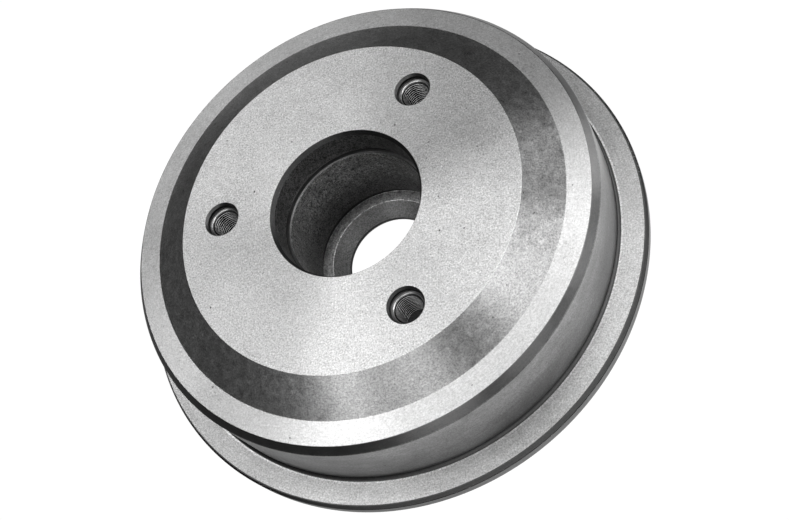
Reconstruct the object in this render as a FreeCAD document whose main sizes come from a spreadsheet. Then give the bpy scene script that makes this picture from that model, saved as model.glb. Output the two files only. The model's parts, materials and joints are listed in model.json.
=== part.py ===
import FreeCAD, Part

import math
import os

import Sketcher

# A cast-iron brake drum, cast and turned as one piece.
# The axis of the drum is Z. The flat wheel face lies in the plane Z = 0 and looks up, and everything else
# hangs below it. The first wheel bolt hole is on +X. All sizes are in millimetres.

SIZES = [
    # Pot of the drum: the surface that the shoes rub on, and the cast wall round it.
    ("friction_diameter", 180.0),
    ("drum_depth", 51.0),
    ("wall_thickness", 8.7),
    ("wall_draft", 0.5),
    ("wall_foot_fillet", 2.0),
    ("friction_lead_in", 1.5),
    ("friction_relief_depth", 1.0),
    ("friction_relief_width", 3.0),
    # Flange round the open end, with a groove for the lip of the backing plate.
    ("flange_width", 11.8),
    ("flange_thickness", 7.4),
    ("flange_bevel_width", 0.9),
    ("flange_bevel_height", 1.9),
    ("flange_end_chamfer", 0.6),
    ("seal_groove_inset", 3.5),
    ("seal_groove_width", 5.0),
    ("seal_groove_depth", 3.8),
    # Steps down from the wheel face to the wall: a cone, a nearly flat shoulder ring and a bevel.
    ("wheel_face_margin", 17.5),
    ("cone_height", 7.6),
    ("shoulder_width", 9.4),
    ("shoulder_fall", 0.8),
    ("bevel_width", 2.6),
    ("bevel_height", 3.6),
    # Inside of the web, which follows the cone outside it.
    ("web_thickness", 9.0),
    ("web_inner_inset", 6.5),
    ("web_fillet", 3.0),
    ("shoulder_thickness", 9.2),
    # Bore of the hub: a mouth and an entry wide enough to pass the bearing and its circlip.
    ("mouth_chamfer_width", 1.1),
    ("mouth_chamfer_depth", 2.0),
    ("entry_clearance", 1.0),
    ("entry_depth", 13.0),
    ("circlip_groove_depth", 2.3),
    ("circlip_groove_width", 2.0),
    # Bearing seat, with a turning relief at its foot.
    ("seat_diameter", 60.0),
    ("seat_length", 37.0),
    ("seat_lead_in", 0.5),
    ("seat_relief_depth", 1.2),
    ("seat_relief_width", 2.4),
    # Lip that the bearing stands on, with the hole that the stub axle passes through.
    ("lip_shoulder_width", 3.4),
    ("lip_width", 9.4),
    ("lip_thickness", 8.0),
    ("lip_land", 2.6),
    ("lip_chamfer", 0.8),
    # Barrel of the hub, with a slight draft.
    ("barrel_wall", 8.3),
    ("barrel_draft", 1.7),
    ("barrel_fillet", 4.0),
    ("barrel_chamfer", 1.2),
    # Wheel bolt holes, tapped through lugs that join the barrel.
    ("bolt_circle_diameter", 108.0),
    ("bolt_count", 3.0),
    ("bolt_thread_diameter", 12.0),
    ("bolt_thread_pitch", 1.25),
    ("bolt_countersink_clearance", 0.1),
    ("bolt_counterbore_clearance", 0.85),
    ("bolt_counterbore_depth", 3.8),
    ("bolt_mouth_chamfer_width", 0.75),
    ("bolt_mouth_chamfer_depth", 1.25),
    ("bolt_exit_chamfer", 0.8),
    ("lug_wall", 8.0),
    ("lug_height", 10.0),
    ("lug_end_round", 1.2),
]

# Radii from the drum's axis.
SEAT = "sizes.seat_diameter / 2"
SEAT_RELIEF = SEAT + " + sizes.seat_relief_depth"
ENTRY = SEAT + " + sizes.entry_clearance"
MOUTH = ENTRY + " + sizes.mouth_chamfer_width"
CIRCLIP_GROOVE = SEAT + " + sizes.circlip_groove_depth"
LIP_SHOULDER = SEAT + " - sizes.lip_shoulder_width"
LIP_BORE = SEAT + " - sizes.lip_width"
BARREL_END = SEAT + " + sizes.barrel_wall"
BARREL_ROOT = BARREL_END + " + sizes.barrel_draft"
BOLT_CIRCLE = "sizes.bolt_circle_diameter / 2"
WHEEL_FACE = BOLT_CIRCLE + " + sizes.wheel_face_margin"
FRICTION = "sizes.friction_diameter / 2"
FRICTION_RELIEF = FRICTION + " + sizes.friction_relief_depth"
WALL_TOP = FRICTION + " + sizes.wall_thickness"
WALL_FOOT = WALL_TOP + " + sizes.wall_draft"
SHOULDER = WALL_TOP + " - sizes.bevel_width"
CONE = SHOULDER + " - sizes.shoulder_width"
FLANGE = WALL_FOOT + " + sizes.flange_width"
SEAL_GROOVE_OUTER = FLANGE + " - sizes.seal_groove_inset"
SEAL_GROOVE_INNER = SEAL_GROOVE_OUTER + " - sizes.seal_groove_width"

# Drops, which are distances below the wheel face.
TOP = "0"
CONE_DROP = "sizes.cone_height"
SHOULDER_DROP = CONE_DROP + " + sizes.shoulder_fall"
WALL_TOP_DROP = SHOULDER_DROP + " + sizes.bevel_height"
FLOOR_DROP = SHOULDER_DROP + " + sizes.shoulder_thickness"
WEB_DROP = "sizes.web_thickness"
LUG_END_DROP = WEB_DROP + " + sizes.lug_height"
OPEN_END_DROP = "sizes.drum_depth"
FLANGE_DROP = OPEN_END_DROP + " - sizes.flange_thickness"
CIRCLIP_GROOVE_DROP = "sizes.entry_depth"
SEAT_DROP = CIRCLIP_GROOVE_DROP + " + sizes.circlip_groove_width"
SEAT_END_DROP = SEAT_DROP + " + sizes.seat_length"
HUB_END_DROP = SEAT_END_DROP + " + sizes.lip_thickness"

# Half section of the turned drum. Each corner has a name, a radius and a drop.
TURNED_CORNERS = [
    # Outside, from the mouth of the hub to the open end.
    ("mouth", MOUTH, TOP),
    ("wheel_face", WHEEL_FACE, TOP),
    ("cone_foot", CONE, CONE_DROP),
    ("shoulder_edge", SHOULDER, SHOULDER_DROP),
    ("wall_top", WALL_TOP, WALL_TOP_DROP),
    ("wall_foot", WALL_FOOT, FLANGE_DROP),
    ("flange_bevel", FLANGE + " - sizes.flange_bevel_width", FLANGE_DROP),
    ("flange_rim", FLANGE, FLANGE_DROP + " + sizes.flange_bevel_height"),
    ("flange_end_chamfer", FLANGE, OPEN_END_DROP + " - sizes.flange_end_chamfer"),
    ("flange_end", FLANGE + " - sizes.flange_end_chamfer", OPEN_END_DROP),
    # Open end, with the sealing groove.
    ("groove_outer_edge", SEAL_GROOVE_OUTER, OPEN_END_DROP),
    ("groove_outer_floor", SEAL_GROOVE_OUTER, OPEN_END_DROP + " - sizes.seal_groove_depth"),
    ("groove_inner_floor", SEAL_GROOVE_INNER, OPEN_END_DROP + " - sizes.seal_groove_depth"),
    ("groove_inner_edge", SEAL_GROOVE_INNER, OPEN_END_DROP),
    ("lead_in_edge", FRICTION + " + sizes.friction_lead_in", OPEN_END_DROP),
    ("lead_in_end", FRICTION, OPEN_END_DROP + " - sizes.friction_lead_in"),
    # Inside of the pot, and down the outside of the barrel.
    ("relief_start", FRICTION, FLOOR_DROP + " + sizes.friction_relief_width"),
    (
        "relief_wall",
        FRICTION_RELIEF,
        FLOOR_DROP + " + sizes.friction_relief_width - sizes.friction_relief_depth",
    ),
    ("floor_edge", FRICTION_RELIEF, FLOOR_DROP),
    ("inner_cone_foot", CONE + " - sizes.web_inner_inset", FLOOR_DROP),
    ("inner_cone_top", WHEEL_FACE + " - sizes.web_inner_inset", WEB_DROP),
    ("barrel_root", BARREL_ROOT, WEB_DROP),
    ("barrel_chamfer", BARREL_END, HUB_END_DROP + " - sizes.barrel_chamfer"),
    ("barrel_end", BARREL_END + " - sizes.barrel_chamfer", HUB_END_DROP),
    # Back up through the bore.
    ("lip_end", LIP_BORE + " + sizes.lip_chamfer", HUB_END_DROP),
    ("lip_chamfer", LIP_BORE, HUB_END_DROP + " - sizes.lip_chamfer"),
    ("lip_land", LIP_BORE, HUB_END_DROP + " - sizes.lip_land"),
    ("lip_shoulder", LIP_SHOULDER, SEAT_END_DROP),
    ("seat_relief_foot", SEAT_RELIEF, SEAT_END_DROP),
    ("seat_relief_top", SEAT_RELIEF, SEAT_END_DROP + " - sizes.seat_relief_width"),
    ("seat_end", SEAT, SEAT_END_DROP + " - sizes.seat_relief_width - sizes.seat_relief_depth"),
    ("seat_start", SEAT, SEAT_DROP + " + sizes.seat_lead_in"),
    ("seat_lead_in", SEAT + " + sizes.seat_lead_in", SEAT_DROP),
    ("circlip_groove_foot", CIRCLIP_GROOVE, SEAT_DROP),
    ("circlip_groove_top", CIRCLIP_GROOVE, CIRCLIP_GROOVE_DROP),
    ("entry_end", ENTRY, CIRCLIP_GROOVE_DROP),
    ("entry_start", ENTRY, "sizes.mouth_chamfer_depth"),
]

# Half section of a wheel bolt hole. A tapped hole is narrower than its thread by this share of the pitch.
THREAD_ENGAGEMENT = "1.0825"
BOLT_THREAD = "sizes.bolt_thread_diameter / 2"
BOLT_TAPPING = BOLT_THREAD + " - %s * sizes.bolt_thread_pitch / 2" % THREAD_ENGAGEMENT
BOLT_COUNTERSINK = BOLT_THREAD + " + sizes.bolt_countersink_clearance"
BOLT_COUNTERBORE = BOLT_THREAD + " + sizes.bolt_counterbore_clearance"
BOLT_MOUTH = BOLT_COUNTERBORE + " + sizes.bolt_mouth_chamfer_width"
BOLT_EXIT = BOLT_TAPPING + " + sizes.bolt_exit_chamfer"
COUNTERBORE_DROP = "sizes.bolt_counterbore_depth"
COUNTERSINK_END_DROP = COUNTERBORE_DROP + " + " + BOLT_COUNTERSINK + " - (" + BOLT_TAPPING + ")"
ABOVE_FACE = "-sizes.bolt_mouth_chamfer_depth"
BELOW_LUG = LUG_END_DROP + " + sizes.bolt_exit_chamfer"
BOLT_HOLE_CORNERS = [
    ("axis_top", "0", ABOVE_FACE),
    ("above_mouth", BOLT_MOUTH, ABOVE_FACE),
    ("mouth", BOLT_MOUTH, TOP),
    ("counterbore_top", BOLT_COUNTERBORE, "sizes.bolt_mouth_chamfer_depth"),
    ("counterbore_floor", BOLT_COUNTERBORE, COUNTERBORE_DROP),
    ("countersink_top", BOLT_COUNTERSINK, COUNTERBORE_DROP),
    ("countersink_end", BOLT_TAPPING, COUNTERSINK_END_DROP),
    ("exit_chamfer", BOLT_TAPPING, LUG_END_DROP + " - sizes.bolt_exit_chamfer"),
    ("exit", BOLT_EXIT, LUG_END_DROP),
    ("below_exit", BOLT_EXIT, BELOW_LUG),
    ("axis_foot", "0", BELOW_LUG),
]

# A lug is round about its bolt, and its straight sides run into the middle of the barrel's wall.
LUG_NOSE = BOLT_THREAD + " + sizes.lug_wall"
LUG_BACK = "(" + SEAT_RELIEF + " + " + BARREL_END + ") / 2"


def fill_sheet(doc):
    """The spreadsheet with one row for each driving dimension: its name, then its value with that alias."""
    sheet = doc.addObject("Spreadsheet::Sheet", "sizes")
    for row, (alias, value) in enumerate(SIZES, start=1):
        sheet.set("A%d" % row, alias)
        sheet.set("B%d" % row, str(value))
        sheet.setAlias("B%d" % row, alias)
    doc.recompute()
    return sheet


def origin_item(body, role):
    """One of the body's own planes or axes."""
    return next(item for item in body.Origin.OriginFeatures if item.Role == role)


def new_sketch(body, name, plane_role):
    """An empty sketch on one of the body's own planes."""
    sketch = body.newObject("Sketcher::SketchObject", name)
    sketch.AttachmentSupport = (origin_item(body, plane_role), [""])
    sketch.MapMode = "FlatFace"
    return sketch


def hold(sketch, kind, line, point, expression):
    """Fixes one distance from the sketch's origin to a point, and ties it to the sheet."""
    value = sketch.evalExpression(expression)
    if value == 0:
        axis_line = -2 if kind == "DistanceX" else -1
        sketch.addConstraint(Sketcher.Constraint("PointOnObject", line, point, axis_line))
    else:
        index = sketch.addConstraint(Sketcher.Constraint(kind, -1, 1, line, point, value))
        sketch.setExpression("Constraints[%d]" % index, expression)


def closed_outline(sketch, corners, centre="0"):
    """Straight lines from corner to corner. A corner's radius is taken from the line at that centre."""
    places = [("%s + %s" % (centre, radius), "-(%s)" % drop) for _, radius, drop in corners]
    points = [
        FreeCAD.Vector(sketch.evalExpression(across), sketch.evalExpression(up), 0) for across, up in places
    ]
    count = len(points)
    for i in range(count):
        sketch.addGeometry(Part.LineSegment(points[i], points[(i + 1) % count]), False)
    for i in range(count):
        sketch.addConstraint(Sketcher.Constraint("Coincident", i, 2, (i + 1) % count, 1))
    for i, (across, up) in enumerate(places):
        hold(sketch, "DistanceX", i, 1, across)
        hold(sketch, "DistanceY", i, 1, up)


def turn_drum(body):
    """The whole drum as one turned solid, before its lugs and bolt holes."""
    sketch = new_sketch(body, "turned_section", "XZ_Plane")
    closed_outline(sketch, TURNED_CORNERS)
    drum = body.newObject("PartDesign::Revolution", "turned_drum")
    drum.Profile = sketch
    drum.ReferenceAxis = (sketch, ["V_Axis"])
    drum.Angle = 360.0
    body.Document.recompute()
    return drum


def repeat_round_axis(body, feature, name):
    """Repeats a feature once for each wheel bolt, round the drum's axis."""
    pattern = body.newObject("PartDesign::PolarPattern", name)
    pattern.Originals = [feature]
    pattern.Axis = (origin_item(body, "Z_Axis"), [""])
    pattern.Angle = 360.0
    pattern.setExpression("Occurrences", "sizes.bolt_count")
    body.Tip = pattern
    body.Document.recompute()
    return pattern


def draw_lug(sketch):
    """Outline of the lug on +X: its flat back inside the barrel's wall, two sides and the round nose."""
    bolt_x, nose_radius, back_x = (sketch.evalExpression(term) for term in (BOLT_CIRCLE, LUG_NOSE, LUG_BACK))
    back_high = FreeCAD.Vector(back_x, nose_radius, 0)
    back_low = FreeCAD.Vector(back_x, -nose_radius, 0)
    nose_low = FreeCAD.Vector(bolt_x, -nose_radius, 0)
    nose_high = FreeCAD.Vector(bolt_x, nose_radius, 0)
    nose_circle = Part.Circle(FreeCAD.Vector(bolt_x, 0, 0), FreeCAD.Vector(0, 0, 1), nose_radius)
    back = sketch.addGeometry(Part.LineSegment(back_high, back_low), False)
    low_side = sketch.addGeometry(Part.LineSegment(back_low, nose_low), False)
    nose = sketch.addGeometry(Part.ArcOfCircle(nose_circle, -math.pi / 2, math.pi / 2), False)
    high_side = sketch.addGeometry(Part.LineSegment(nose_high, back_high), False)
    sketch.addConstraint(Sketcher.Constraint("Coincident", back, 2, low_side, 1))
    sketch.addConstraint(Sketcher.Constraint("Coincident", high_side, 2, back, 1))
    sketch.addConstraint(Sketcher.Constraint("Tangent", low_side, 2, nose, 1))
    sketch.addConstraint(Sketcher.Constraint("Tangent", nose, 2, high_side, 1))
    sketch.addConstraint(Sketcher.Constraint("Vertical", back))
    sketch.addConstraint(Sketcher.Constraint("Horizontal", low_side))
    sketch.addConstraint(Sketcher.Constraint("Horizontal", high_side))
    sketch.addConstraint(Sketcher.Constraint("PointOnObject", nose, 3, -1))
    hold(sketch, "DistanceX", nose, 3, BOLT_CIRCLE)
    hold(sketch, "DistanceX", back, 1, LUG_BACK)
    radius = sketch.addConstraint(Sketcher.Constraint("Radius", nose, nose_radius))
    sketch.setExpression("Constraints[%d]" % radius, LUG_NOSE)


def add_lugs(body):
    """A lug behind each bolt hole, from inside the web down to its flat end."""
    sketch = new_sketch(body, "lug_outline", "XY_Plane")
    sketch.setExpression("AttachmentOffset.Base.z", "-(%s)" % LUG_END_DROP)
    draw_lug(sketch)
    lug = body.newObject("PartDesign::Pad", "lug")
    lug.Profile = sketch
    lug.setExpression("Length", "sizes.lug_height + sizes.web_thickness / 2")
    body.Document.recompute()
    return repeat_round_axis(body, lug, "lugs")


def drill_bolt_holes(body):
    """A tapped hole through each lug: a chamfered mouth, a counterbore, a countersink and the tapping bore."""
    sketch = new_sketch(body, "bolt_hole_section", "XZ_Plane")
    closed_outline(sketch, BOLT_HOLE_CORNERS, BOLT_CIRCLE)
    hole = body.newObject("PartDesign::Groove", "bolt_hole")
    hole.Profile = sketch
    hole.ReferenceAxis = (sketch, ["Edge%d" % len(BOLT_HOLE_CORNERS)])
    hole.Angle = 360.0
    body.Document.recompute()
    return repeat_round_axis(body, hole, "bolt_holes")


def round_edges(body, name, edges, radius):
    """Rounds some edges of the body, given as their numbers from nought."""
    if not edges:
        raise RuntimeError("no edges to round for " + name)
    base = body.Tip
    fillet = body.newObject("PartDesign::Fillet", name)
    fillet.Base = (base, ["Edge%d" % (number + 1) for number in edges])
    fillet.setExpression("Radius", radius)
    body.Document.recompute()
    return fillet


def round_ring(body, corner_name, radius):
    """Rounds the whole ring that one corner of the turned section makes."""
    _, ring_radius, drop = next(corner for corner in TURNED_CORNERS if corner[0] == corner_name)
    wanted_radius = body.Tip.evalExpression(ring_radius)
    wanted_height = -body.Tip.evalExpression(drop)
    rings = []
    for number, edge in enumerate(body.Tip.Shape.Edges):
        if isinstance(edge.Curve, Part.Circle):
            centre = edge.Curve.Center
            off_radius = abs(edge.Curve.Radius - wanted_radius)
            off_height = abs(centre.z - wanted_height)
            if math.hypot(centre.x, centre.y) + off_radius + off_height < 0.001:
                rings.append(number)
    return round_edges(body, corner_name + "_round", rings, radius)


def round_lug_ends(body):
    """Rounds the edge of each lug's flat end, as it leaves the mould."""
    end_height = -body.Tip.evalExpression(LUG_END_DROP)
    barrel = body.Tip.evalExpression(BARREL_ROOT)
    ends = []
    for number, edge in enumerate(body.Tip.Shape.Edges):
        box = edge.BoundBox
        is_level = abs(box.ZMin - end_height) < 0.001 and abs(box.ZMax - end_height) < 0.001
        middle = edge.valueAt((edge.FirstParameter + edge.LastParameter) / 2)
        if is_level and math.hypot(middle.x, middle.y) > barrel:
            ends.append(number)
    return round_edges(body, "lug_ends_round", ends, "sizes.lug_end_round")


def expect(condition, message):
    """Stops the build, before anything is written, if something is not as it has to be."""
    if not condition:
        raise RuntimeError(message)


def build(doc):
    """The drum: turned, with its cast corners, then its lugs and last the bolt holes."""
    fill_sheet(doc)
    body = doc.addObject("PartDesign::Body", "brake_drum")
    body.Label = "brake_drum"
    turned = turn_drum(body)
    round_ring(body, "inner_cone_foot", "sizes.web_fillet")
    round_ring(body, "inner_cone_top", "sizes.web_fillet")
    round_ring(body, "barrel_root", "sizes.barrel_fillet")
    cast = round_ring(body, "wall_foot", "sizes.wall_foot_fillet")
    lugs = add_lugs(body)
    lug_ends = round_lug_ends(body)
    holes = drill_bolt_holes(body)
    expect(turned.Shape.Volume > 0, "the drum was not turned")
    expect(lugs.Shape.Volume > cast.Shape.Volume, "the lugs add nothing")
    expect(lug_ends.Shape.Volume < lugs.Shape.Volume, "the lugs' ends were not rounded")
    expect(holes.Shape.Volume < lug_ends.Shape.Volume, "the bolt holes cut nothing")
    return body


def check(doc, body):
    """Stops before anything is written if a feature failed or the solid is not sound."""
    for item in doc.Objects:
        expect("Invalid" not in item.State and "Error" not in item.State, "%s failed" % item.Name)
    shape = body.Shape
    expect(not shape.isNull() and shape.isValid(), "the drum is not a sound solid")
    expect(len(shape.Solids) == 1, "the drum is not one solid")


doc = FreeCAD.newDocument("brake_drum_model")
drum = build(doc)
check(doc, drum)
os.makedirs("parts", exist_ok=True)
drum.Shape.exportStep("parts/%s.step" % drum.Label)
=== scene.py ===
import json
import math

import bpy
import numpy as np
from mathutils import Matrix, Vector


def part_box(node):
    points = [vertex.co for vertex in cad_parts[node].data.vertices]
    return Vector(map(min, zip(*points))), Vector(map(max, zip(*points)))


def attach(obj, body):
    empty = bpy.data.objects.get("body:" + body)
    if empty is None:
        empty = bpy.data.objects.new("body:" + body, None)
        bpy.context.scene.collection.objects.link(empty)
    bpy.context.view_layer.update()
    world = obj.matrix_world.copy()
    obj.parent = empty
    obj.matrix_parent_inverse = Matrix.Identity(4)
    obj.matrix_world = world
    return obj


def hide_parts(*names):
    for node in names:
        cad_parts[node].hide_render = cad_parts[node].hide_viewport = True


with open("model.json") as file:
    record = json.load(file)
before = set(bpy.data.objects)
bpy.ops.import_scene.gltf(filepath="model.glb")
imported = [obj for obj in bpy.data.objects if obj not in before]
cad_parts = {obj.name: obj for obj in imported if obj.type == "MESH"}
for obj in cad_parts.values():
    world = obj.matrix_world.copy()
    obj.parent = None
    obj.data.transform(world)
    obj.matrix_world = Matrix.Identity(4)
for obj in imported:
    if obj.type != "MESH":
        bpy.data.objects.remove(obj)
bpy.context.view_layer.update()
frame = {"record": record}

# A cast-iron brake drum with its hub, cast and turned as one piece. The wheel face is in the plane
# z = 0 and looks up, and the first wheel bolt hole is on +X. Sizes are in millimetres, and a drop
# is a distance below the wheel face.

MM = 0.001

# Sizes that the frame gives.
MOUNTS = {mount["name"]: mount for mount in frame["record"]["mounts"]}
SEAT_RADIUS = MOUNTS["bearing_seat"]["dims"]["r_mm"]
FRICTION_RADIUS = MOUNTS["shoe_track"]["dims"]["r_mm"]
BOLT_CIRCLE_RADIUS = MOUNTS["wheel_bolts"]["dims"]["pcd_mm"] / 2
BOLT_COUNT = MOUNTS["wheel_bolts"]["dims"]["count"]
TAPPING_RADIUS = MOUNTS["wheel_bolts"]["dims"]["hole_r_mm"]
HUB_END = -MOUNTS["hub_end"]["pos_m"][2] / MM

# Radii.
ENTRY_RADIUS = 31.0
CIRCLIP_RADIUS = 32.3
SEAT_RELIEF_RADIUS = SEAT_RADIUS + 1.2
LIP_BORE_RADIUS = 20.6
BARREL_END_RADIUS = 38.3
FACE_RADIUS = 71.5
WALL_RADIUS = 99.2
FLANGE_RADIUS = 110.96  # 0.04 less than the solid's, to stay inside the box of the solid's mesh
SEAL_GROOVE_INSIDE = 102.5
SEAL_GROOVE_OUTSIDE = 107.5
POT_RADIUS = FRICTION_RADIUS + 1.0
COUNTERBORE_RADIUS = 6.85
THREAD_RADIUS = 6.0

# Drops.
WEB_UNDERSIDE = 9.0
CIRCLIP_TOP = 13.0
CIRCLIP_FOOT = 15.0
POT_FLOOR = 17.6
LUG_END = 19.0
FLANGE_TOP = 43.6
SEAL_GROOVE_TOP = 47.2
OPEN_END = 51.0
LIP_TOP = 52.0

# Chamfers.
MOUTH_CHAMFER = (1.1, 2.0)  # width and depth
LIP_CHAMFER = 0.8
BARREL_CHAMFER = 1.2
POT_LEAD_IN = 1.5

# Half section of the casting: radius, drop, rounding of the corner, and finish that starts there.
SECTION = [
    # From the mouth of the hub out over the wheel face, down the steps and the wall to the flange.
    (ENTRY_RADIUS + MOUTH_CHAMFER[0], 0.0, 0.12, "wheel_face"),
    (FACE_RADIUS, 0.0, 0.35, "cone"),
    (86.7, 7.6, 0.80, "shoulder"),
    (95.9, 8.38, 0.0, "bevel"),
    (96.1, 8.4, 0.30, "bevel"),
    (98.4, 11.58, 0.0, "wall"),
    (98.7, 12.0, 0.35, "wall"),
    (99.17, 42.0, 0.0, "foot"),
    (WALL_RADIUS, FLANGE_TOP, 1.40, "flange_root"),
    (101.3, FLANGE_TOP, 0.0, "flange"),
    (109.6, FLANGE_TOP, 0.0, "flange_bevel"),
    (110.1, FLANGE_TOP, 0.15, "flange_bevel"),
    (FLANGE_RADIUS, 45.5, 0.20, "flange_bevel"),
    (FLANGE_RADIUS, 46.4, 0.0, "flange_edge"),
    (FLANGE_RADIUS, 50.4, 0.15, "flange_edge"),
    (110.4, OPEN_END, 0.15, "flange"),
    # Open end of the pot, with the sealing groove, then the surface that the shoes rub on.
    (SEAL_GROOVE_OUTSIDE, OPEN_END, 0.15, "flange"),
    (SEAL_GROOVE_OUTSIDE, SEAL_GROOVE_TOP, 0.30, "flange"),
    (SEAL_GROOVE_INSIDE, SEAL_GROOVE_TOP, 0.30, "flange"),
    (SEAL_GROOVE_INSIDE, OPEN_END, 0.15, "flange"),
    (FRICTION_RADIUS + POT_LEAD_IN, OPEN_END, 0.15, "friction"),
    (FRICTION_RADIUS, OPEN_END - POT_LEAD_IN, 0.20, "friction"),
    (FRICTION_RADIUS, 20.6, 0.15, "friction"),
    (POT_RADIUS, 19.6, 0.30, "friction"),
    # Floor of the pot and underside of the web, which stay as they were cast.
    (POT_RADIUS, POT_FLOOR, 0.60, "cast"),
    (80.2, POT_FLOOR, 3.00, "cast"),
    (65.0, WEB_UNDERSIDE, 3.00, "cast"),
    (40.0, WEB_UNDERSIDE, 4.00, "cast"),
    (BARREL_END_RADIUS, HUB_END - BARREL_CHAMFER, 0.20, "bore"),
    (BARREL_END_RADIUS - BARREL_CHAMFER, HUB_END, 0.20, "bore"),
    # Up through the hub: the lip, the bearing seat and its relief, the circlip groove, the entry.
    (LIP_BORE_RADIUS + LIP_CHAMFER, HUB_END, 0.15, "bore"),
    (LIP_BORE_RADIUS, HUB_END - LIP_CHAMFER, 0.15, "bore"),
    (LIP_BORE_RADIUS, 57.4, 0.20, "lip_cone"),
    (26.4, 52.18, 0.0, "lip_edge"),
    (26.6, LIP_TOP, 0.50, "lip_face"),
    (SEAT_RELIEF_RADIUS, LIP_TOP, 0.25, "relief"),
    (SEAT_RELIEF_RADIUS, 49.6, 0.20, "relief"),
    (SEAT_RADIUS, 48.4, 0.12, "seat"),
    (SEAT_RADIUS, 15.5, 0.10, "groove"),
    (30.5, CIRCLIP_FOOT, 0.10, "groove"),
    (CIRCLIP_RADIUS, CIRCLIP_FOOT, 0.20, "groove"),
    (CIRCLIP_RADIUS, CIRCLIP_TOP, 0.20, "groove"),
    (ENTRY_RADIUS, CIRCLIP_TOP, 0.12, "entry"),
    (ENTRY_RADIUS, MOUTH_CHAMFER[1], 0.15, "bore_mouth"),
]

# Wheel bolt holes, each turned about its own axis. The cutters start outside the iron and end in a
# tip. One makes the mouth and the counterbore from above, the other a chamfer at 45 degrees from
# below.
HOLE_ANGLES = [360 * k / BOLT_COUNT for k in range(BOLT_COUNT)]
HOLE_MOUTH = [
    (8.20, -1.0, "mouth"),
    (6.88, 1.20, "mouth"),
    # The counterbore wall has two finishes, for a painted dark band at its top.
    (COUNTERBORE_RADIUS, 1.30, "counterbore"),
    (COUNTERBORE_RADIUS, 2.45, "counterbore_foot"),
    (COUNTERBORE_RADIUS, 3.55, "hole_step"),
    (6.35, 3.75, "hole_edge"),
    (6.02, 4.00, "hole_lead"),
]
HOLE_MOUTH_TIP = 9.9
HOLE_EXIT = [(7.12, LUG_END + 1.0, "thread")]
HOLE_EXIT_TIP = 12.877

# Thread, M12 with a 1.25 mm pitch: share of the pitch, radius and finish, for one turn.
THREAD_PITCH = 1.25
THREAD_TOP = 2.6
THREAD_TURNS = 15
THREAD_FORM = [
    (0.0, TAPPING_RADIUS, "thread"),
    (0.25, TAPPING_RADIUS, "thread_edge"),
    (0.33, 5.496, "thread"),
    (0.5625, THREAD_RADIUS, "thread"),
    (0.6875, THREAD_RADIUS, "thread"),
]

# Lug round a wheel bolt hole. Its rings, as offset and drop, run from inside the web, so that the
# two join without a gap, down a fillet of 3 mm and the wall to an end rounded by 1.2 mm.
LUG_NOSE_RADIUS = 14.0
LUG_ROOT_X = 34.75
LUG_RINGS = [
    (3.0, 7.0),
    (3.0, WEB_UNDERSIDE),
    (1.85, 9.25),
    (0.9, 9.9),
    (0.25, 10.85),
    (0.0, 12.0),
    (0.0, 17.8),
    (-0.16, 18.4),
    (-0.6, 18.84),
    (-1.2, LUG_END),
]

# The direction that the lathe marks step in, as shares along the radius and along the axis.
ON_FLAT = (1.0, 0.0)
ON_WALL = (0.0, 1.0)


def iron(
    tone,
    rough,
    lay,
    turned=0.0,
    width=0.4,
    marks=0.0,
    grit=0.6,
    relief=0.4,
    pores=0.0,
    wander=12.0,
    streaks=0.0,
    shade=None,
    rim=1.0,
):
    """What makes one finish of the iron.

    tone and rough are the brightness and roughness of the bare iron, and rim is its brightness at
    a low angle. lay, width and wander place the lathe marks: the direction they step in, their
    width in millimetres, and how often they change on their way round. turned is how strongly they
    draw a reflection out across them. marks, grit, relief, pores and streaks are strengths. The
    painted shading has two pairs of drop and brightness: painted shade that darkens a wall towards
    its foot, and painted light that brightens it higher up.
    """
    return dict(
        tone=tone,
        rough=rough,
        lay=lay,
        turned=turned,
        width=width,
        marks=marks,
        grit=grit,
        relief=relief,
        pores=pores,
        wander=wander,
        streaks=streaks,
        shade=shade,
        rim=rim,
    )


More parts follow.
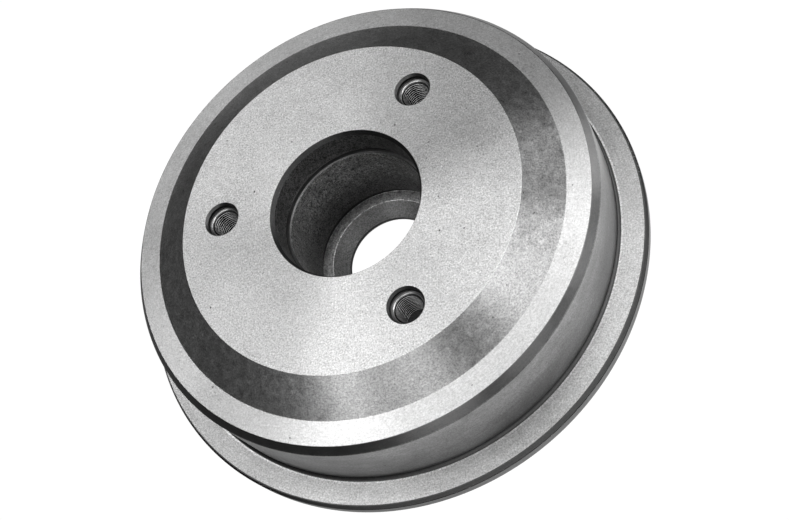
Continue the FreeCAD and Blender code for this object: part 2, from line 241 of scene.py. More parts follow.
LOOKS = {
    # Outside.
    "wheel_face": iron(
        tone=0.66, rough=0.38, lay=ON_FLAT, turned=0.75, width=0.35,
        marks=0.15, grit=1.5, relief=1.6, pores=0.8,
    ),
    "cone": iron(
        tone=0.385, rough=0.31, lay=(0.89, -0.45), turned=0.6, width=0.45,
        marks=0.6, grit=1.35, relief=0.8, pores=0.5, wander=70.0,
    ),
    "shoulder": iron(
        tone=0.58, rough=0.36, lay=ON_FLAT, turned=0.7, width=0.35,
        marks=0.35, grit=0.8, relief=0.7, pores=0.5, wander=40.0,
    ),
    "bevel": iron(
        tone=0.155, rough=0.34, lay=(0.58, -0.81), turned=0.6, width=0.3,
        marks=0.3, grit=0.4, relief=0.3, pores=0.1,
    ),
    "wall": iron(
        tone=0.19, rough=0.40, lay=ON_WALL, width=2.5,
        marks=0.35, grit=1.3, relief=0.8, pores=0.2, wander=8.0, streaks=0.3,
        # Painted shade darkens the wall towards its foot, and painted light brightens its top.
        shade=((41.0, 0.6), (12.0, 1.25)),
    ),
    # Near black: painted shade in the crease where the wall meets the flange.
    "foot": iron(
        tone=0.065, rough=0.50, lay=ON_WALL, width=0.6,
        marks=0.1, grit=0.8, relief=0.5, rim=0.1,
    ),
    "flange_root": iron(
        tone=0.68, rough=0.42, lay=ON_FLAT, width=0.35, marks=0.3, grit=1.6, relief=0.5
    ),
    "flange": iron(
        tone=0.545, rough=0.42, lay=ON_FLAT, turned=0.6, width=0.35,
        marks=0.4, grit=1.35, relief=1.0, pores=0.6,
    ),
    "flange_bevel": iron(
        tone=0.08, rough=0.40, lay=ON_WALL, marks=0.3, grit=0.6, relief=0.3, rim=0.1
    ),
    "flange_edge": iron(
        tone=0.15, rough=0.36, lay=ON_WALL, marks=0.6, grit=0.8, relief=0.5, rim=0.65
    ),
    # Inside the pot.
    "friction": iron(
        tone=0.50, rough=0.30, lay=ON_WALL, turned=0.7, width=0.3,
        marks=0.6, grit=0.3, relief=0.2, pores=0.2,
    ),
    "cast": iron(tone=0.20, rough=0.62, lay=(1.0, 1.0), width=3.0, grit=1.6, relief=2.5),
    # In the hub.
    "bore": iron(tone=0.34, rough=0.42, lay=ON_FLAT, marks=0.4, pores=0.2),
    "lip_cone": iron(
        tone=0.285, rough=0.45, lay=(0.7, 0.7), turned=0.5,
        marks=0.4, grit=1.8, relief=1.0, pores=0.2,
    ),
    "lip_edge": iron(tone=0.34, rough=0.32, lay=(0.7, 0.7), grit=4.0, relief=2.0),
    "lip_face": iron(
        tone=0.37, rough=0.42, lay=ON_FLAT, turned=0.5, width=0.5,
        marks=1.0, grit=2.4, relief=1.0, pores=0.2,
    ),
    # Near black: painted shade in the relief at the foot of the bearing seat.
    "relief": iron(tone=0.02, rough=0.50, lay=ON_WALL, width=0.5),
    "seat": iron(
        tone=0.275, rough=0.48, lay=ON_WALL, width=0.5,
        # Painted shade darkens the seat towards the lip, and painted light brightens it higher up.
        marks=0.4, grit=4.6, relief=1.6, pores=0.2, shade=((48.0, 0.3), (28.0, 1.4)),
    ),
    # Painted shade: the circlip groove is given a darker tone than the bore round it.
    "groove": iron(
        tone=0.10, rough=0.48, lay=ON_WALL, marks=0.3, grit=0.8, relief=0.5, pores=0.2
    ),
    "entry": iron(
        tone=0.16, rough=0.46, lay=ON_WALL, marks=0.4, grit=4.6, relief=1.4, pores=0.2
    ),
    "bore_mouth": iron(tone=0.06, rough=0.42, lay=(0.5, 0.8), marks=0.3, grit=1.0),
    # In the wheel bolt holes.
    "mouth": iron(tone=0.09, rough=0.42, lay=(0.5, 0.8), marks=0.3, grit=1.0),
    # Painted shade: a black band at the top of the counterbore wall, with a lighter band below it.
    "counterbore": iron(tone=0.02, rough=0.50, lay=ON_WALL),
    "counterbore_foot": iron(tone=0.20, rough=0.42, lay=ON_WALL),
    "hole_step": iron(tone=0.12, rough=0.38, lay=ON_FLAT, grit=0.4, relief=0.3),
    "hole_edge": iron(tone=0.55, rough=0.30, lay=ON_FLAT, grit=0.4, relief=0.3),
    "hole_lead": iron(tone=0.10, rough=0.42, lay=ON_FLAT, grit=0.4, relief=0.3),
    # Near black: painted shade down in the tapped hole, with lighter edges on the thread.
    "thread": iron(tone=0.02, rough=0.36, lay=ON_WALL, relief=0.3, rim=0.2),
    "thread_edge": iron(tone=0.34, rough=0.40, lay=ON_WALL, relief=0.3, rim=0.5),
}
FINISHES = list(LOOKS)

# How finely round shapes are divided, and from which angle on an edge is drawn sharp.
TURNS = 240  # steps round the casting
HOLE_STEPS = 64  # steps round a wheel bolt hole
LUG_STEP = 6  # degrees of the lug's nose
FILLET_STEP = 16  # degrees of a rounding over 1 mm
EDGE_STEP = 30  # degrees of a smaller one
SHARP_EDGE = math.radians(38)
FLAT_FACES_FIRST = 100  # large faces keep their own direction, and small roundings give way


# -------------------------------------------------------------------------------------------------
# Shapes
# -------------------------------------------------------------------------------------------------


def rounded(section):
    """The section with its corners as small arcs: a closed list of (radius, drop, finish)."""
    outline = []
    count = len(section)
    for i, (radius, drop, rounding, finish) in enumerate(section):
        if rounding == 0:
            outline.append((radius, drop, finish))
            continue
        here = np.array([radius, drop])
        before = np.array(section[i - 1][:2])
        after = np.array(section[(i + 1) % count][:2])
        back = (before - here) / np.linalg.norm(before - here)
        on = (after - here) / np.linalg.norm(after - here)
        opening = math.acos(float(np.clip(back @ on, -1, 1)))
        turn = math.pi - opening
        reach = rounding / math.tan(opening / 2)
        inward = (back + on) / np.linalg.norm(back + on)
        middle = here + inward * rounding / math.sin(opening / 2)
        steps = max(2, round(math.degrees(turn) / (FILLET_STEP if rounding > 1 else EDGE_STEP)))
        start = here + back * reach - middle
        side = on * reach + here - middle
        for k in range(steps + 1):
            share = k / steps
            arm = math.sin((1 - share) * turn) * start + math.sin(share * turn) * side
            r, d = middle + arm / math.sin(turn)
            outline.append((float(r), float(d), finish if k == steps else section[i - 1][3]))
    return outline


def mesh_object(name, points, faces, finishes, materials):
    """A mesh object from points in millimetres, with a finish for each face."""
    mesh = bpy.data.meshes.new(name)
    mesh.from_pydata([tuple(np.array(p) * MM) for p in points], [], faces)
    for finish in FINISHES:
        mesh.materials.append(materials[finish])
    mesh.polygons.foreach_set("material_index", [FINISHES.index(f) for f in finishes])
    mesh.update()
    piece = bpy.data.objects.new(name, mesh)
    bpy.context.scene.collection.objects.link(piece)
    return piece


def turned_ring(outline, steps):
    """Points and faces of a closed section turned about the Z axis."""
    rows = len(outline)
    points, faces, finishes = [], [], []
    for j in range(steps):
        a = 2 * math.pi * j / steps
        points += [(r * math.cos(a), r * math.sin(a), -d) for r, d, _ in outline]
    for j in range(steps):
        here, there = j * rows, (j + 1) % steps * rows
        for i in range(rows):
            k = (i + 1) % rows
            faces.append((here + i, here + k, there + k, there + i))
            finishes.append(outline[i][2])
    return points, faces, finishes


def turned_cutter(outline, tip, steps, centre):
    """Points and faces of a solid turned about a hole's axis, flat at one end, with a tip."""
    points = [(0, 0, -outline[0][1]), (0, 0, -tip)]
    faces, finishes = [], []
    rows = len(outline)
    for j in range(steps):
        a = 2 * math.pi * j / steps
        points += [(r * math.cos(a), r * math.sin(a), -d) for r, d, _ in outline]
    for j in range(steps):
        here, there = 2 + j * rows, 2 + (j + 1) % steps * rows
        faces.append((0, here, there))
        finishes.append(outline[0][2])
        for i in range(rows - 1):
            faces.append((here + i, here + i + 1, there + i + 1, there + i))
            finishes.append(outline[i][2])
        faces.append((here + rows - 1, 1, there + rows - 1))
        finishes.append(outline[-1][2])
    if tip < outline[0][1]:
        faces = [f[::-1] for f in faces]
    return [(x + centre[0], y + centre[1], z) for x, y, z in points], faces, finishes


def thread_plug(centre):
    """Points and faces of a plug with a screw thread, which cuts the thread of a tapped hole."""
    form = len(THREAD_FORM)
    rows = THREAD_TURNS * form + 1
    steps = HOLE_STEPS
    low = THREAD_TOP + (THREAD_TURNS + 1) * THREAD_PITCH
    high = THREAD_TOP - THREAD_PITCH
    points = [(centre[0], centre[1], -low), (centre[0], centre[1], -high)]
    first = len(points)
    for j in range(steps):
        a = 2 * math.pi * j / steps
        for i in range(rows):
            share, radius, _ = THREAD_FORM[i % form]
            rise = (i // form + share + j / steps) * THREAD_PITCH
            x, y = radius * math.cos(a), radius * math.sin(a)
            points.append((centre[0] + x, centre[1] + y, -low + rise))

    def at(i, j):
        return first + j * rows + i

    # The wall; the seam, where a turn's last step meets the next turn's first; and the two ends.
    faces = []
    for j in range(steps - 1):
        faces += [(at(i, j), at(i, j + 1), at(i + 1, j + 1), at(i + 1, j)) for i in range(rows - 1)]
    last = steps - 1
    for i in range(rows - 1 - form):
        faces.append((at(i, last), at(i + form, 0), at(i + form + 1, 0), at(i + 1, last)))
    finishes = [THREAD_FORM[i % form][2] for i in range(rows - 1)] * (steps - 1)
    finishes += [THREAD_FORM[i % form][2] for i in range(rows - 1 - form)]
    bottom = [at(0, j) for j in range(steps)] + [at(i, 0) for i in range(form, 0, -1)]
    top = [at(rows - 1, j) for j in range(steps)]
    top += [at(rows - 1 - i, last) for i in range(1, form + 1)]
    faces += [(0, bottom[(k + 1) % len(bottom)], bottom[k]) for k in range(len(bottom))]
    faces += [(1, top[k], top[(k + 1) % len(top)]) for k in range(len(top))]
    finishes += ["thread"] * (len(faces) - len(finishes))
    return points, faces, finishes


def lug_solid(angle):
    """Points and faces of the lug that carries one wheel bolt hole."""
    nose_arc = [math.radians(t) for t in range(-90, 91, LUG_STEP)]
    points, faces = [], []
    cos, sin = math.cos(math.radians(angle)), math.sin(math.radians(angle))
    for offset, drop in LUG_RINGS:
        nose = LUG_NOSE_RADIUS + offset
        outline = [(LUG_ROOT_X, -nose)]
        outline += [
            (BOLT_CIRCLE_RADIUS + nose * math.cos(t), nose * math.sin(t)) for t in nose_arc
        ]
        outline += [(LUG_ROOT_X, nose)]
        points += [(x * cos - y * sin, x * sin + y * cos, -drop) for x, y in outline]
    width = len(nose_arc) + 2
    for k in range(len(LUG_RINGS) - 1):
        a, b = k * width, (k + 1) * width
        for i in range(width):
            n = (i + 1) % width
            faces.append((a + n, a + i, b + i, b + n))
    faces.append(tuple(range(width)))
    faces.append(tuple((len(LUG_RINGS) - 1) * width + i for i in reversed(range(width))))
    return points, faces, ["cast"] * len(faces)


def gathered(parts):
    """Several sets of points and faces as one."""
    points, faces, finishes = [], [], []
    for p, f, n in parts:
        faces += [tuple(v + len(points) for v in face) for face in f]
        points += p
        finishes += n
    return points, faces, finishes


def combine(piece, tool, operation):
    """Joins a solid to the piece or cuts it away, and removes the solid."""
    step = piece.modifiers.new(operation.lower(), "BOOLEAN")
    step.operation = operation
    step.solver = "MANIFOLD"
    step.object = tool
    apply_modifiers(piece)
    bpy.data.objects.remove(tool)


def apply_modifiers(piece):
    """Turns what the piece's modifiers make into its mesh."""
    bpy.context.view_layer.update()
    graph = bpy.context.evaluated_depsgraph_get()
    mesh = bpy.data.meshes.new_from_object(piece.evaluated_get(graph), depsgraph=graph)
    piece.modifiers.clear()
    old = piece.data
    piece.data = mesh
    mesh.name = piece.name
    bpy.data.meshes.remove(old)


def build_casting(materials):
    """The whole drum: the turned body, its three lugs, and the tapped wheel bolt holes."""
    body = turned_ring(rounded(SECTION), TURNS)
    casting = mesh_object("brake_drum_casting", *body, materials)
    lugs = mesh_object("lugs", *gathered([lug_solid(a) for a in HOLE_ANGLES]), materials)
    combine(casting, lugs, "UNION")
    mouths, threads = [], []
    for angle in HOLE_ANGLES:
        a = math.radians(angle)
        centre = (BOLT_CIRCLE_RADIUS * math.cos(a), BOLT_CIRCLE_RADIUS * math.sin(a))
        mouths.append(turned_cutter(HOLE_MOUTH, HOLE_MOUTH_TIP, HOLE_STEPS, centre))
        mouths.append(turned_cutter(HOLE_EXIT, HOLE_EXIT_TIP, HOLE_STEPS, centre))
        threads.append(thread_plug(centre))
    combine(casting, mesh_object("hole_mouths", *gathered(mouths), materials), "DIFFERENCE")
    combine(casting, mesh_object("hole_threads", *gathered(threads), materials), "DIFFERENCE")
    mesh = casting.data
    mesh.shade_smooth()
    mesh.set_sharp_from_angle(angle=SHARP_EDGE)
    even = casting.modifiers.new("even_shading", "WEIGHTED_NORMAL")
    even.keep_sharp = True
    even.weight = FLAT_FACES_FIRST
    apply_modifiers(casting)
    return casting


# -------------------------------------------------------------------------------------------------
# Finishes
# -------------------------------------------------------------------------------------------------


class Nodes:
    """Short ways to add nodes to a tree."""

    def __init__(self, tree):
        self.tree = tree

    def add(self, kind, **settings):
        """A new node with its settings."""
        node = self.tree.nodes.new(kind)
        for key, value in settings.items():
            setattr(node, key, value)
        return node

    def put(self, socket, value):
        """Links a socket to another node's output, or sets it to a value."""
        if isinstance(value, bpy.types.NodeSocket):
            self.tree.links.new(value, socket)
        else:
            socket.default_value = value

    def math(self, operation, *values, clamp=False):
        """The result of a calculation with one, two or three values."""
        node = self.add("ShaderNodeMath", operation=operation, use_clamp=clamp)
        for socket, value in zip(node.inputs, values):
            self.put(socket, value)
        return node.outputs[0]

    def noise(self, vector, scale, detail, roughness):
        """A noise between 0 and 1."""
        node = self.add("ShaderNodeTexNoise")
        self.put(node.inputs["Vector"], vector)
        self.put(node.inputs["Scale"], scale)
        self.put(node.inputs["Detail"], detail)
        self.put(node.inputs["Roughness"], roughness)
        return node.outputs["Fac"]

    def remap(self, value, low, high, to_low=0.0, to_high=1.0, smooth=False):
        """The value moved from one range to another, and held inside it."""
        node = self.add("ShaderNodeMapRange")
        node.interpolation_type = "SMOOTHSTEP" if smooth else "LINEAR"
        for name, x in (
            ("Value", value),
            ("From Min", low),
            ("From Max", high),
            ("To Min", to_low),
            ("To Max", to_high),
        ):
            self.put(node.inputs[name], x)
        return node.outputs["Result"]

    def group(self, tree, **values):
        """A node group. From_x sets its input called From x."""
        node = self.add("ShaderNodeGroup")
        node.node_tree = tree
        for name, value in values.items():
            self.put(node.inputs[name.replace("_", " ").capitalize()], value)
        return node


def new_group(name, inputs, outputs):
    """A node group with named numbers in and out: its tree, its inputs and its outputs."""
    tree = bpy.data.node_groups.new(name, "ShaderNodeTree")
    for label, default in inputs:
        socket = tree.interface.new_socket(label, in_out="INPUT", socket_type="NodeSocketFloat")
        socket.default_value = default
    for label in outputs:
        tree.interface.new_socket(label, in_out="OUTPUT", socket_type="NodeSocketFloat")
    given = tree.nodes.new("NodeGroupInput").outputs
    out = tree.nodes.new("NodeGroupOutput").inputs
    return tree, given, out


# Broad marks are wider than the fine ones, and run on for longer round the axis.
BROAD_ACROSS = 0.14
BROAD_ALONG = 0.35


def turning_marks_group():
    """Grooves left by the lathe tool, which run round the axis and change slowly on their way."""
    tree, given, out = new_group(
        "turning_marks",
        [("Across radius", 1.0), ("Along axis", 0.0), ("Width", 0.3), ("Wander", 12.0)],
        ["Fine", "Broad"],
    )
    n = Nodes(tree)
    place = n.add("ShaderNodeTexCoord").outputs["Object"]
    split = n.add("ShaderNodeSeparateXYZ")
    n.put(split.inputs[0], place)
    x, y, z = split.outputs
    radius = n.math("SQRT", n.math("ADD", n.math("MULTIPLY", x, x), n.math("MULTIPLY", y, y)))
    course = n.math(
        "ADD",
        n.math("MULTIPLY", radius, given["Across radius"]),
        n.math("MULTIPLY", z, given["Along axis"]),
    )
    steps = n.math("DIVIDE", n.math("DIVIDE", course, MM), given["Width"])
    east = n.math("DIVIDE", x, radius)
    north = n.math("DIVIDE", y, radius)
    for label, across, along in (("Fine", 1.0, 1.0), ("Broad", BROAD_ACROSS, BROAD_ALONG)):
        wander = n.math("MULTIPLY", given["Wander"], along)
        spot = n.add("ShaderNodeCombineXYZ")
        n.put(spot.inputs[0], n.math("MULTIPLY", steps, across))
        n.put(spot.inputs[1], n.math("MULTIPLY", east, wander))
        n.put(spot.inputs[2], n.math("MULTIPLY", north, wander))
        n.put(out[label], n.noise(spot.outputs[0], 1.0, detail=3.0, roughness=0.6))
    return tree


# Where in their noise the pits and their clusters begin and are full, and how strongly pits show
# outside the clusters.
PIT_EDGE = (0.57, 0.72)
CLUSTER_EDGE = (0.46, 0.64)
LONE_PITS = 0.12


def iron_grain_group():
    """Grain of grey iron: grit, clouded patches, wide stains, clustered pits, a soft relief."""
    tree, given, out = new_group(
        "iron_grain",
        [
            ("Grit size", 0.68),
            ("Patch size", 2.6),
            ("Stain size", 22.0),
            ("Relief size", 1.0),
            ("Pit size", 0.75),
            ("Cluster size", 17.0),
        ],
        ["Grit", "Patches", "Stains", "Relief", "Pits"],
    )
    n = Nodes(tree)
    place = n.add("ShaderNodeTexCoord").outputs["Object"]

    def mottle(size, detail, roughness):
        scale = n.math("DIVIDE", 1.0 / MM, given[size])
        return n.noise(place, scale, detail=detail, roughness=roughness)

    n.put(out["Grit"], mottle("Grit size", 2.0, 0.75))
    n.put(out["Patches"], mottle("Patch size", 3.0, 0.6))
    n.put(out["Stains"], mottle("Stain size", 4.0, 0.6))
    n.put(out["Relief"], mottle("Relief size", 1.0, 0.5))
    pits = n.remap(mottle("Pit size", 1.0, 0.5), *PIT_EDGE)
    clusters = n.remap(mottle("Cluster size", 3.0, 0.6), *CLUSTER_EDGE, smooth=True)
    n.put(out["Pits"], n.math("MULTIPLY", pits, n.math("ADD", clusters, LONE_PITS)))
    return tree


# The outline of a pore: how many dents to the millimetre, and how far they reach, in millimetres.
RAGGED_PER_MM = 1.1
RAGGED_REACH = 0.8
SMALLEST_PORE = 0.4  # as a share of the given size
DARK_CORE = 0.45  # as a share of the pore


def pores_group():
    """Small open pores and graphite specks, scattered unevenly."""
    tree, given, out = new_group(
        "pores",
        [("Spacing", 5.0), ("Size", 0.09), ("Share", 0.35)],
        ["Pores"],
    )
    n = Nodes(tree)
    place = n.add("ShaderNodeTexCoord").outputs["Object"]
    ragged = n.add("ShaderNodeTexNoise")
    n.put(ragged.inputs["Vector"], place)
    n.put(ragged.inputs["Scale"], RAGGED_PER_MM / MM)
    shift = n.add("ShaderNodeVectorMath", operation="MULTIPLY_ADD")
    n.put(shift.inputs[0], ragged.outputs["Color"])
    n.put(shift.inputs[1], (RAGGED_REACH * MM,) * 3)
    n.put(shift.inputs[2], place)
    cells = n.add("ShaderNodeTexVoronoi")
    n.put(cells.inputs["Vector"], shift.outputs[0])
    n.put(cells.inputs["Scale"], n.math("DIVIDE", 1.0 / MM, given["Spacing"]))
    n.put(cells.inputs["Randomness"], 1.0)
    split = n.add("ShaderNodeSeparateXYZ")
    n.put(split.inputs[0], cells.outputs["Color"])
    chosen = n.math("LESS_THAN", split.outputs[0], given["Share"])
    size = n.math("MULTIPLY", given["Size"], n.math("ADD", split.outputs[1], SMALLEST_PORE))
    core = n.math("MULTIPLY", size, DARK_CORE)
    spot = n.remap(cells.outputs["Distance"], size, core, smooth=True)
    n.put(out["Pores"], n.math("MULTIPLY", spot, chosen))
    return tree


def scratch_group():
    """A thin straight mark on a face that looks up, between two places given in millimetres."""
    tree, given, out = new_group(
        "scratch",
        [("From x", 0.0), ("From y", 0.0), ("To x", 1.0), ("To y", 0.0), ("Width", 0.4)],
        ["Scratch"],
    )
    n = Nodes(tree)

    def vector(operation, *values, output=0):
        node = n.add("ShaderNodeVectorMath", operation=operation)
        for socket, value in zip(node.inputs, values):
            n.put(socket, value)
        return node.outputs[output]

    def spot(x, y):
        node = n.add("ShaderNodeCombineXYZ")
        n.put(node.inputs[0], x)
        n.put(node.inputs[1], y)
        return node.outputs[0]

    flat = vector("MULTIPLY", n.add("ShaderNodeTexCoord").outputs["Object"], (1 / MM, 1 / MM, 0))
    start = spot(given["From x"], given["From y"])
    run = vector("SUBTRACT", spot(given["To x"], given["To y"]), start)
    here = vector("SUBTRACT", flat, start)
    along = n.math(
        "DIVIDE",
        vector("DOT_PRODUCT", here, run, output=1),
        vector("DOT_PRODUCT", run, run, output=1),
        clamp=True,
    )
    nearest = n.add("ShaderNodeVectorMath", operation="SCALE")
    n.put(nearest.inputs[0], run)
    n.put(nearest.inputs["Scale"], along)
    away = vector("LENGTH", vector("SUBTRACT", here, nearest.outputs[0]), output=1)
    n.put(out["Scratch"], n.remap(away, given["Width"], 0.0, smooth=True))
    return tree


GROUPS = {
    "turning_marks": turning_marks_group(),
    "iron_grain": iron_grain_group(),
    "pores": pores_group(),
    "scratch": scratch_group(),
}

# Marks left by handling: finish, from, to, width, and how much darker the iron is there.
SCRATCHES = [
    ("wheel_face", (-7.2, -61.9), (11.3, -50.4), 1.3, 0.08),
    ("wheel_face", (45.0, 4.5), (41.3, 3.6), 0.5, 0.14),
    ("wheel_face", (41.3, 3.6), (33.1, 0.6), 0.5, 0.16),
    ("wheel_face", (38.4, 57.6), (36.4, 59.3), 0.55, 0.28),
    ("wheel_face", (36.4, 59.3), (32.9, 61.6), 0.4, 0.2),
    ("cone", (7.8, 85.8), (1.5, 80.5), 3.4, 0.16),
    ("cone", (8.4, 85.7), (6.8, 85.2), 1.2, 0.25),
    ("cone", (-84.8, -12.7), (-85.7, -10.7), 0.8, 0.4),
    ("wheel_face", (-47.3, -25.1), (-54.5, -18.5), 11.0, 0.1),
]

# Nearly all of a noise texture lies between these values.
NOISE_LOW = 0.3
NOISE_MIDDLE = 0.5
NOISE_HIGH = 0.7
# How far each mask changes the brightness, up and down, as a share.
STAINS_SPREAD = 0.06
PATCHES_SPREAD = 0.07
GRIT_SPREAD = 0.26
MARKS_SPREAD = 0.3
PITS_DEPTH = 0.5
# What each mask adds to the roughness.
PATCHES_ROUGH = 0.12
MARKS_ROUGH = 0.2
PORES_ROUGH = 0.3
# Heights in the surface, in millimetres.
RELIEF_HEIGHT = 0.032
MARKS_HEIGHT = 0.006
PORES_DEPTH = 0.05
QUARTER_TURN = 0.25  # draws a reflection out across the marks instead of along them


def iron_tone(n, name, look, marks, grain, pores):
    """Brightness of the iron: stains and patches, lathe marks, grit, pits and pores in turn, and
    painted shade and light along a wall.
    """
    tone = look["tone"]
    for mask, spread in (
        (grain["Stains"], STAINS_SPREAD),
        (grain["Patches"], PATCHES_SPREAD * look["grit"]),
        (grain["Grit"], GRIT_SPREAD * look["grit"]),
        (marks["Fine"], MARKS_SPREAD * look["marks"]),
        (marks["Broad"], look["streaks"]),
    ):
        if spread:
            dark, bright = max(0.0, 1 - spread), 1 + spread
            tone = n.math("MULTIPLY", tone, n.remap(mask, NOISE_LOW, NOISE_HIGH, dark, bright))
    for mask, depth in ((grain["Pits"], PITS_DEPTH * look["pores"]), (pores, look["pores"])):
        if depth:
            tone = n.math("MULTIPLY", tone, n.remap(mask, 0.0, 1.0, 1.0, 1 - depth))
    # Painted shade and painted light: the tone darkens towards the foot of a wall and brightens
    # higher up.
    if look["shade"]:
        (low, dim), (high, full) = look["shade"]
        place = n.add("ShaderNodeSeparateXYZ")
        n.put(place.inputs[0], n.add("ShaderNodeTexCoord").outputs["Object"])
        shade = n.remap(place.outputs[2], -low * MM, -high * MM, dim, full)
        tone = n.math("MULTIPLY", tone, shade)
    for finish, (from_x, from_y), (to_x, to_y), width, depth in SCRATCHES:
        if finish == name:
            line = n.group(
                GROUPS["scratch"], From_x=from_x, From_y=from_y, To_x=to_x, To_y=to_y, Width=width
            ).outputs["Scratch"]
            tone = n.math("MULTIPLY", tone, n.remap(line, 0.0, 1.0, 1.0, 1 - depth))
    return tone


def iron_roughness(n, look, marks, grain, pores):
    """Roughness of the iron, which its patches, the lathe marks and the pores change a little."""
    rough = look["rough"]
    for mask, strength in (
        (grain["Patches"], PATCHES_ROUGH),
        (marks["Broad"], MARKS_ROUGH * look["marks"]),
    ):
        change = n.math("MULTIPLY", n.math("SUBTRACT", mask, NOISE_MIDDLE), strength)
        rough = n.math("ADD", rough, change)
    return n.math("ADD", rough, n.math("MULTIPLY", pores, PORES_ROUGH), clamp=True)


def iron_height(n, look, marks, grain, pores):
    """Height of the surface in millimetres."""
    height = n.math("MULTIPLY", pores, -PORES_DEPTH * look["pores"])
    for mask, strength in (
        (grain["Relief"], RELIEF_HEIGHT * look["relief"]),
        (marks["Fine"], MARKS_HEIGHT * look["marks"]),
    ):
        change = n.math("MULTIPLY", n.math("SUBTRACT", mask, NOISE_MIDDLE), strength)
        height = n.math("ADD", height, change)
    return height


def iron_finish(name, look):
    """Bare grey iron with one finish."""
    material = bpy.data.materials.new("iron_" + name)
    material.use_nodes = True
    tree = material.node_tree
    tree.nodes.clear()
    n = Nodes(tree)
    shader = n.add("ShaderNodeBsdfPrincipled")
    n.put(n.add("ShaderNodeOutputMaterial").inputs["Surface"], shader.outputs["BSDF"])
    marks = n.group(
        GROUPS["turning_marks"],
        Across_radius=look["lay"][0],
        Along_axis=look["lay"][1],
        Width=look["width"],
        Wander=look["wander"],
    ).outputs
    grain = n.group(GROUPS["iron_grain"]).outputs
    pores = n.group(GROUPS["pores"]).outputs["Pores"]

    tone = iron_tone(n, name, look, marks, grain, pores)
    colour = n.add("ShaderNodeCombineColor")
    for channel in colour.inputs:
        n.put(channel, tone)
    n.put(shader.inputs["Base Color"], colour.outputs[0])
    n.put(shader.inputs["Roughness"], iron_roughness(n, look, marks, grain, pores))
    shader.inputs["Metallic"].default_value = 1.0
    shader.inputs["Specular Tint"].default_value = (look["rim"],) * 3 + (1.0,)
    bump = n.add("ShaderNodeBump")
    bump.inputs["Distance"].default_value = MM
    n.put(bump.inputs["Height"], iron_height(n, look, marks, grain, pores))
    n.put(shader.inputs["Normal"], bump.outputs["Normal"])
    if look["turned"]:
        shader.inputs["Anisotropic"].default_value = look["turned"]
        shader.inputs["Anisotropic Rotation"].default_value = QUARTER_TURN
        around = n.add("ShaderNodeTangent", direction_type="RADIAL", axis="Z")
        n.put(shader.inputs["Tangent"], around.outputs["Tangent"])
    return material


# -------------------------------------------------------------------------------------------------
# Floor, light and camera
# -------------------------------------------------------------------------------------------------


# The floor, in metres. An edge runs between two distances from the middle of the wheel face.
FLOOR_HALF = 40.0
SHADE_EDGE = (0.115, 0.13)  # of the drum's own shade round its foot
TABLE_EDGE = (0.16, 0.26)  # of the white table
# How brightly it glows to the eye, on the table and in the shade.
EYE_GLOW = 1.02
TABLE_GLOW = 1.1
SHADE_GLOW = 0.09
# The table's two sides, with painted light on one and painted shade on the other: where along X,
# and how much brighter or dimmer it is there.
PAINTED_LIGHT_SIDE = (-0.10, 1.3)
PAINTED_SHADE_SIDE = (0.14, 0.22)


def pale_floor():
    """White to the eye. What the drum mirrors is a glowing white table in a dim studio, with a
    painted shadow round the drum's foot and one side painted brighter than the other.
    """
    material = bpy.data.materials.new("pale_floor")
    material.use_nodes = True
    tree = material.node_tree
    tree.nodes.clear()
    n = Nodes(tree)
    place = n.add("ShaderNodeTexCoord").outputs["Object"]
    length = n.add("ShaderNodeVectorMath", operation="LENGTH")
    n.put(length.inputs[0], place)
    away = length.outputs["Value"]
    split = n.add("ShaderNodeSeparateXYZ")
    n.put(split.inputs[0], place)
    (near, bright), (far, dim) = PAINTED_LIGHT_SIDE, PAINTED_SHADE_SIDE
    table = n.remap(away, *TABLE_EDGE, TABLE_GLOW, 0.0, smooth=True)
    # Painted shadow of the drum round its foot, then painted light on one side of the table and
    # painted shade on the other.
    table = n.math("MULTIPLY", table, n.remap(away, *SHADE_EDGE, SHADE_GLOW, 1.0, smooth=True))
    table = n.math("MULTIPLY", table, n.remap(split.outputs[0], near, far, bright, dim))
    eye = n.add("ShaderNodeLightPath").outputs["Is Camera Ray"]
    seen = n.math("MULTIPLY", eye, EYE_GLOW)
    mirrored = n.math("MULTIPLY", n.math("SUBTRACT", 1.0, eye), table)
    glow = n.add("ShaderNodeEmission")
    n.put(glow.inputs["Strength"], n.math("ADD", seen, mirrored))
    n.put(n.add("ShaderNodeOutputMaterial").inputs["Surface"], glow.outputs[0])
    return material


def build_floor(level):
    """A plain pale floor, which the drum stands on."""
    mesh = bpy.data.meshes.new("floor")
    half = FLOOR_HALF
    corners = [(-half, -half), (half, -half), (half, half), (-half, half)]
    mesh.from_pydata([(x, y, level) for x, y in corners], [], [(0, 1, 2, 3)])
    mesh.materials.append(pale_floor())
    floor = bpy.data.objects.new("floor", mesh)
    bpy.context.scene.collection.objects.link(floor)
    return floor


# Soft boxes round the drum, looking down at it: elevation and azimuth in degrees, and watts. The
# camera looks in from azimuth 128 and elevation 54, so the flat faces mirror the ceiling behind the
# drum. Sizes and distances are in metres.
SOFT_BOX_DISTANCE = 1.1
CEILING_BOX_SIZE = 0.3
CEILING_BOXES = [
    (90, 0, 0.6),
    (66, 18, 1.4),
    (66, 90, 0.8),
    (66, 176, 1.5),
    (66, 232, 1.2),
    (74, 270, 0.3),
    (68, 325, 0.75),
    (54, 58, 0.85),
    (56, 244, 0.9),
    (50, 340, 0.75),
    (44, 280, 0.15),
    (42, 318, 0.3),
]
# Large ones near the table: two on the camera's side, a strong pair on its right, and a weak one
# across from it.
SIDE_BOX_SIZE = 0.5
SIDE_BOXES = [
    (26, 105, 2.9),
    (26, 145, 2.5),
    (26, 182, 5.8),
    (7, 215, 4.5),
    (25, 300, 0.5),
]
AIR_GLOW = 0.045  # of the studio round the soft boxes


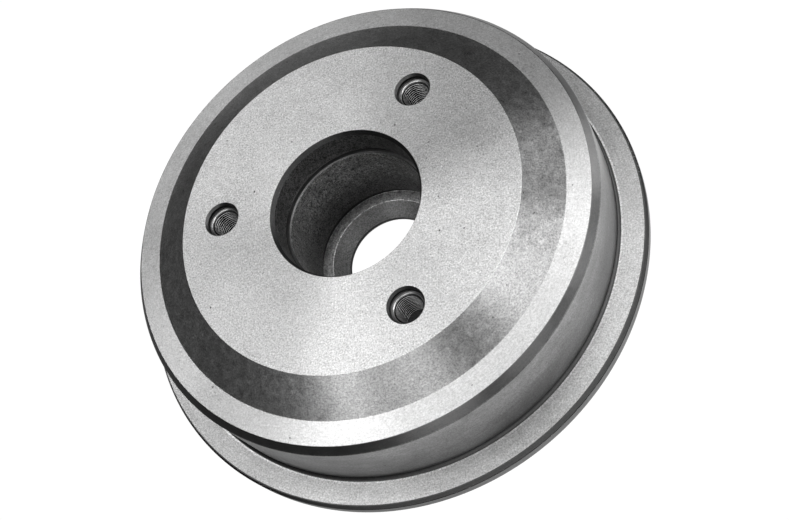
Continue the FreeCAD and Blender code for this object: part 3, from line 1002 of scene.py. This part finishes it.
def soft_box(elevation, azimuth, power, size):
    """A square soft light, turned towards the drum."""
    light = bpy.data.lights.new("soft_box", "AREA")
    light.shape = "SQUARE"
    light.size = size
    light.energy = power
    lamp = bpy.data.objects.new("soft_box", light)
    bpy.context.scene.collection.objects.link(lamp)
    e, a = math.radians(elevation), math.radians(azimuth)
    aim = Vector((math.cos(e) * math.cos(a), math.cos(e) * math.sin(a), math.sin(e)))
    lamp.location = aim * SOFT_BOX_DISTANCE
    lamp.rotation_euler = (-aim).to_track_quat("-Z", "Y").to_euler()
    return lamp


# The camera, as the photo's ellipses place it: in metres, with its right and upward directions.
CAMERA_PLACE = (-0.164596, 0.209414, 0.369894)
CAMERA_RIGHT = Vector((-0.937866, -0.032688, -0.345454))
CAMERA_UP = Vector((-0.116010, -0.908729, 0.400940))
CAMERA_LENS = 52.92  # millimetres, for a sensor as wide as the next value
CAMERA_SENSOR = 36.0
CAMERA_NEAREST = 0.01


def build_camera():
    """The camera at the photo's viewing angle."""
    data = bpy.data.cameras.new("camera")
    data.sensor_width = CAMERA_SENSOR
    data.lens = CAMERA_LENS
    data.clip_start = CAMERA_NEAREST
    camera = bpy.data.objects.new("camera", data)
    bpy.context.scene.collection.objects.link(camera)
    backward = CAMERA_RIGHT.cross(CAMERA_UP)
    turn = Matrix((CAMERA_RIGHT, CAMERA_UP, backward)).transposed()
    camera.matrix_world = Matrix.Translation(CAMERA_PLACE) @ turn.to_4x4()
    bpy.context.scene.camera = camera
    return camera


def build_light():
    """The soft boxes, and a little light from the studio itself."""
    for boxes, size in ((CEILING_BOXES, CEILING_BOX_SIZE), (SIDE_BOXES, SIDE_BOX_SIZE)):
        for elevation, azimuth, power in boxes:
            soft_box(elevation, azimuth, power, size)
    world = bpy.data.worlds.new("studio")
    world.use_nodes = True
    background = world.node_tree.nodes["Background"]
    background.inputs["Color"].default_value = (1, 1, 1, 1)
    background.inputs["Strength"].default_value = AIR_GLOW
    bpy.context.scene.world = world
    bpy.context.scene.view_settings.view_transform = "Standard"


materials = {name: iron_finish(name, LOOKS[name]) for name in FINISHES}
casting = build_casting(materials)
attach(casting, "root")
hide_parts("brake_drum")
build_floor(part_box("brake_drum")[0].z)
build_light()
build_camera()
